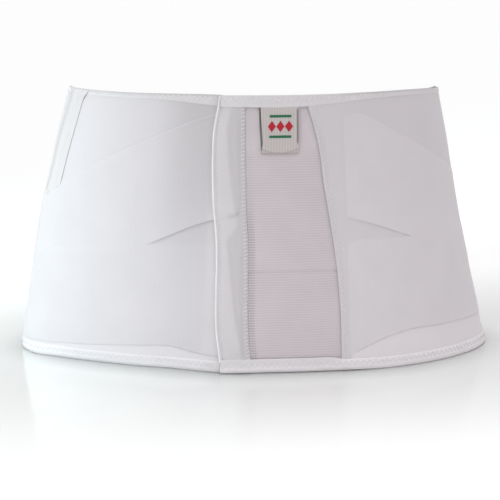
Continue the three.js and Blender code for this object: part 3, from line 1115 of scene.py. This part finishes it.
class BRACE_OT_label(bpy.types.Operator):
    """Hang the folded tag from the rim, with its woven diamonds and bars"""

    bl_idname = "brace.label"
    bl_label = "Label"

    def execute(self, context):
        colours = context.scene.brace_colours
        tag = lay_cloth("woven_tag", TAG_GRID, lay_tag, LABEL_PLY)
        satin = cloth("tag_satin", colours.tag, tag_weave, shade=0.78, roughness=0.55, painted_shading=(0.25, 0.4))
        dress(tag, satin, "label", "label")
        for name, patches, diamond, colour in (
            ("tag_diamonds", DIAMONDS, True, colours.tag_red),
            ("tag_bars", BARS, False, colours.tag_green),
        ):
            parts = [
                lay_cloth(f"{name}_{k}", PATCH_GRID, partial(lay_patch, patch, diamond), PATCH)
                for k, patch in enumerate(patches)
            ]
            thread = cloth(f"{name}_thread", colour, satin_weave, shade=0.7, roughness=0.5)
            dress(join(parts, name), thread, "label")
        return {"FINISHED"}


def casing_depth(turn, z):
    """Outer face of the stay's casing: it swells over the stay, and rises over the binding."""
    share = (turn - through(CASING_EDGE, z)) / CASING_WIDTH + 1.0
    swell = 0.8 * between(share, 0.2, 0.42, 0.5, 0.64)
    piped = 0.55 * soft_step(share, 0.66, 0.8)
    edge = rim_height(turn) - 5.5
    return 1.8 + 0.6 * soft_step(z, edge - 5.0, edge) + swell + piped + slack(turn, z)


def lay_casing(across, up):
    behind = CASING_WIDTH * (1.0 - across)
    middle = CASING_EDGE[0][1] - behind
    low = upper_high(middle) - 3.0 - 12.0 * (1.0 - across) ** 2
    high = rim_height(middle) - 1.2
    z = lerp(low, high, up)
    turn = through(CASING_EDGE, z) - behind
    side = np.minimum(across, 1.0 - across) * CASING_WIDTH * girth(z)
    ends = np.minimum(z - low, high - z)
    n = casing_depth(turn, z) - rounding(ends, 1.0, 0.3) - rounding(side, 1.0, 0.3)
    flare = 0.005 * across**4 * soft_step(z, high - 9.0, high)
    # The mark lays painted shade along the casing's outer edge.
    return turn + flare, z, n, turn * FOOT_LENGTH, z, soft_fall(across, 0.26, 0.4)


class BRACE_OT_stay_casing(bpy.types.Operator):
    """Lay the casing of the side stay"""

    bl_idname = "brace.stay_casing"
    bl_label = "Stay casing"

    def execute(self, context):
        piece = lay_cloth("stay_casing_tape", CASING_GRID, lay_casing, CASING)
        colours = context.scene.brace_colours
        finish = cloth("casing_tape", colours.casing, tape_weave, shade=0.9, painted_shading=(0.8, 0.88))
        dress(piece, finish, "casing", "stay_casing")
        return {"FINISHED"}


def tape_face(turn, z):
    return slot_outer(turn) + TAPE


def hem_face(turn, z):
    return tape_face(turn, z) - hem_dip(turn, z)


def panel_face(turn, z):
    return WALL + lie(turn, z) + panel_fold((turn - panel_edge(z)) * girth(z))


def to_and_fro(count, near, far):
    return np.where(np.arange(count) % 2 == 0, near, far)


def linked(turn, z):
    """Starts and ends of stitches that follow each other without a gap."""
    row = np.column_stack([turn, z])
    return row[:-1], row[1:]


def rim_row(pitch):
    turn = np.arange(SEWN_FROM, SEWN_TO, pitch / 2.0 / RIM_LENGTH)
    back = to_and_fro(len(turn), 1.4, 6.2)
    return linked(turn, rim_height(turn) - back * through(RIM_REACH, turn))


def hem_row(pitch):
    turn = np.arange(SEWN_FROM, SEWN_TO, pitch / 2.0 / FOOT_LENGTH)
    return linked(turn, to_and_fro(len(turn), 5.0, 9.8))


def panel_row(pitch):
    z = np.arange(SEAM_FOOT, SEAM_TOP, pitch / 2.0)
    return linked(panel_edge(z) + to_and_fro(len(z), 1.4, 5.2) / girth(z), z)


def groove_row(stitch, gap):
    """Straight stitches in the groove beside the rolled edge."""
    z = np.arange(SEAM_FOOT + 1.0, SEAM_TOP - stitch, stitch + gap)
    return tuple(np.column_stack([flap_edge(at) + 2.3 / girth(at), at]) for at in (z, z + stitch))


def overlock_row(pitch):
    """Slanted stitches over the strip's inner edge."""
    z = np.arange(SEAM_FOOT, SEAM_TOP, pitch)
    ends = ((4.2, 0.0), (0.2, 1.2))
    return tuple(np.column_stack([strip_edge(z) - back / girth(z), z + rise]) for back, rise in ends)


class BRACE_OT_stitching(bpy.types.Operator):
    """Sew the zigzags of the bindings, the overlocked strip and the straight seams"""

    bl_idname = "brace.stitching"
    bl_label = "Stitching"

    def execute(self, context):
        sizes, colours = context.scene.brace_sizes, context.scene.brace_colours
        thread, zigzag = mm(sizes.thread), mm(sizes.zigzag)
        plain, bright = (
            cloth(name, colour, twisted_thread, shade=0.85, roughness=0.6)
            for name, colour in (("sewing_thread", colours.thread), ("overlock_thread", colours.overlock))
        )
        for name, slot, finish, face, radius, arch, (starts, ends) in (
            ("rim_zigzag", "binding", bright, tape_face, thread, 0.2, rim_row(zigzag)),
            ("hem_zigzag", "binding", plain, hem_face, thread, 0.2, hem_row(1.3 * zigzag)),
            ("groove_stitches", "strip", plain, strip_depth, thread, 0.05, groove_row(2.6, 1.6)),
            ("strip_overlock", "strip", bright, strip_depth, 1.1 * thread, 0.3, overlock_row(3.4)),
            ("panel_stitches", "knit", plain, panel_face, thread, 0.15, panel_row(4.0)),
        ):
            row = sew(name, starts, ends, face, radius, arch)
            dress(row, finish, slot)
        return {"FINISHED"}


def add_light(name, kind, power, rotation, location=(0.0, 0.0, 0.0), **settings):
    start_piece()
    bpy.ops.object.light_add(type=kind, location=location, rotation=rotation)
    light = bpy.context.active_object
    light.name = name
    light.data.energy = power
    for key, value in settings.items():
        setattr(light.data, key, value)


def add_spot(name, power, stands, faces, cone, softness, **settings):
    """A soft spot light that stands at one place and faces another."""
    rotation = (Vector(faces) - Vector(stands)).to_track_quat("-Z", "Y").to_euler()
    shape = {"spot_size": math.radians(cone), "spot_blend": 1.0, "shadow_soft_size": softness}
    add_light(name, "SPOT", power, rotation, stands, **shape, **settings)


def add_world(studio):
    """Soft light from all round, a little stronger on the right."""
    world = bpy.data.worlds.new("studio")
    world.use_nodes = True
    tree = world.node_tree
    background = tree.nodes["Background"]
    towards = node(tree, "ShaderNodeTexCoord").outputs["Generated"]
    side = node(tree, "ShaderNodeSeparateXYZ", {0: towards}).outputs["X"]
    sides = {"Value": side, "From Min": -1.0, "To Min": studio.fill, "To Max": studio.fill_right}
    strength = node(tree, "ShaderNodeMapRange", sides).outputs["Result"]
    feed(tree, background, {"Color": FILL_COLOUR, "Strength": strength})
    bpy.context.scene.world = world


def add_floor():
    """A pale floor, shaded where the brace stands and with a reflection that fades away from it."""
    start_piece()
    bpy.ops.mesh.primitive_plane_add(size=FLOOR_SIZE)
    floor = bpy.context.active_object
    floor.name = "floor"
    material, tree, surface = new_finish("pale_floor")
    open_sky = node(tree, "ShaderNodeAmbientOcclusion", {"Distance": 0.06}, samples=8).outputs["AO"]
    shade = ramp(tree, open_sky, FLOOR_SHADED, FLOOR_OPEN, 0.42, 0.9)
    feed(tree, surface, {"Base Color": shade, "Roughness": 0.9, "Specular IOR Level": 0.0})
    where = node(tree, "ShaderNodeTexCoord").outputs["Object"]
    spread = node(tree, "ShaderNodeMapping", {"Vector": where, "Scale": (0.45, 1.0, 1.0)}).outputs["Vector"]
    distance = node(tree, "ShaderNodeVectorMath", {0: spread}, operation="LENGTH").outputs["Value"]
    fading = {"Value": distance, "From Min": 0.12, "From Max": 0.44, "To Min": 0.58, "To Max": 0.0}
    fade = node(tree, "ShaderNodeMapRange", fading, interpolation_type="SMOOTHSTEP").outputs["Result"]
    gloss = node(tree, "ShaderNodeBsdfGlossy", {"Color": shade, "Roughness": 0.12}).outputs["BSDF"]
    mix = node(tree, "ShaderNodeMixShader", {0: fade, 1: surface.outputs["BSDF"], 2: gloss})
    feed(tree, tree.nodes["Material Output"], {"Surface": mix.outputs["Shader"]})
    floor.data.materials.append(material)


def add_camera(studio):
    location = (
        BRACE_AXIS[0] + studio.distance * math.sin(studio.azimuth),
        BRACE_AXIS[1] - studio.distance * math.cos(studio.azimuth),
        studio.height,
    )
    rotation = (math.pi / 2 - studio.pitch, 0.0, studio.azimuth)
    bpy.ops.object.camera_add(location=location, rotation=rotation)
    camera = bpy.context.active_object
    camera.name = "front_camera"
    camera.data.lens = studio.lens
    camera.data.sensor_width = 36.0
    camera.data.clip_end = 200.0
    bpy.context.scene.camera = camera


class BRACE_OT_stage(bpy.types.Operator):
    """Set up the pale floor, the soft light and the camera"""

    bl_idname = "brace.stage"
    bl_label = "Stage"

    def execute(self, context):
        studio = context.scene.brace_studio
        add_floor()
        add_world(studio)
        add_light("overhead_light", "SUN", studio.overhead, OVERHEAD_TILT, angle=OVERHEAD_SPREAD)
        add_spot("low_light", studio.low, LOW_STANDS, LOW_FACES, LOW_CONE, LOW_SOFT)
        add_spot("key_light", studio.key, KEY_STANDS, KEY_FACES, KEY_CONE, KEY_SOFT, color=KEY_COLOUR)
        add_camera(studio)
        context.scene.view_settings.view_transform = "Standard"
        return {"FINISHED"}


class BRACE_PT_sidebar(bpy.types.Panel):
    """Lists the brace's pieces in the order they are made"""

    bl_idname = "BRACE_PT_sidebar"
    bl_label = "Brace"
    bl_space_type = "VIEW_3D"
    bl_region_type = "UI"
    bl_category = "Brace"

    def draw(self, context):
        for operator in OPERATORS:
            self.layout.operator(operator.bl_idname)
        for settings in SETTINGS:
            group = getattr(context.scene, settings)
            box = self.layout.box()
            for key in group.bl_rna.properties.keys():
                if key not in ("rna_type", "name"):
                    box.prop(group, key)


SETTINGS = {
    "brace_sizes": BraceSizes,
    "brace_colours": BraceColours,
    "brace_studio": BraceStudio,
}
OPERATORS = (
    BRACE_OT_body_panel,
    BRACE_OT_mesh_panel,
    BRACE_OT_closure_strip,
    BRACE_OT_flap_edge,
    BRACE_OT_bindings,
    BRACE_OT_bands,
    BRACE_OT_label,
    BRACE_OT_stay_casing,
    BRACE_OT_stitching,
    BRACE_OT_stage,
)
CLASSES = (*SETTINGS.values(), *OPERATORS, BRACE_PT_sidebar)


def register():
    for made in CLASSES:
        bpy.utils.register_class(made)
    for name, group in SETTINGS.items():
        setattr(bpy.types.Scene, name, PointerProperty(type=group))


def unregister():
    for name in SETTINGS:
        delattr(bpy.types.Scene, name)
    for made in reversed(CLASSES):
        bpy.utils.unregister_class(made)


def main():
    register()
    bpy.ops.brace.body_panel()
    bpy.ops.brace.mesh_panel()
    bpy.ops.brace.closure_strip()
    bpy.ops.brace.flap_edge()
    bpy.ops.brace.bindings()
    bpy.ops.brace.bands()
    bpy.ops.brace.label()
    bpy.ops.brace.stay_casing()
    bpy.ops.brace.stitching()
    bpy.ops.brace.stage()


if __name__ == "__main__":
    main()
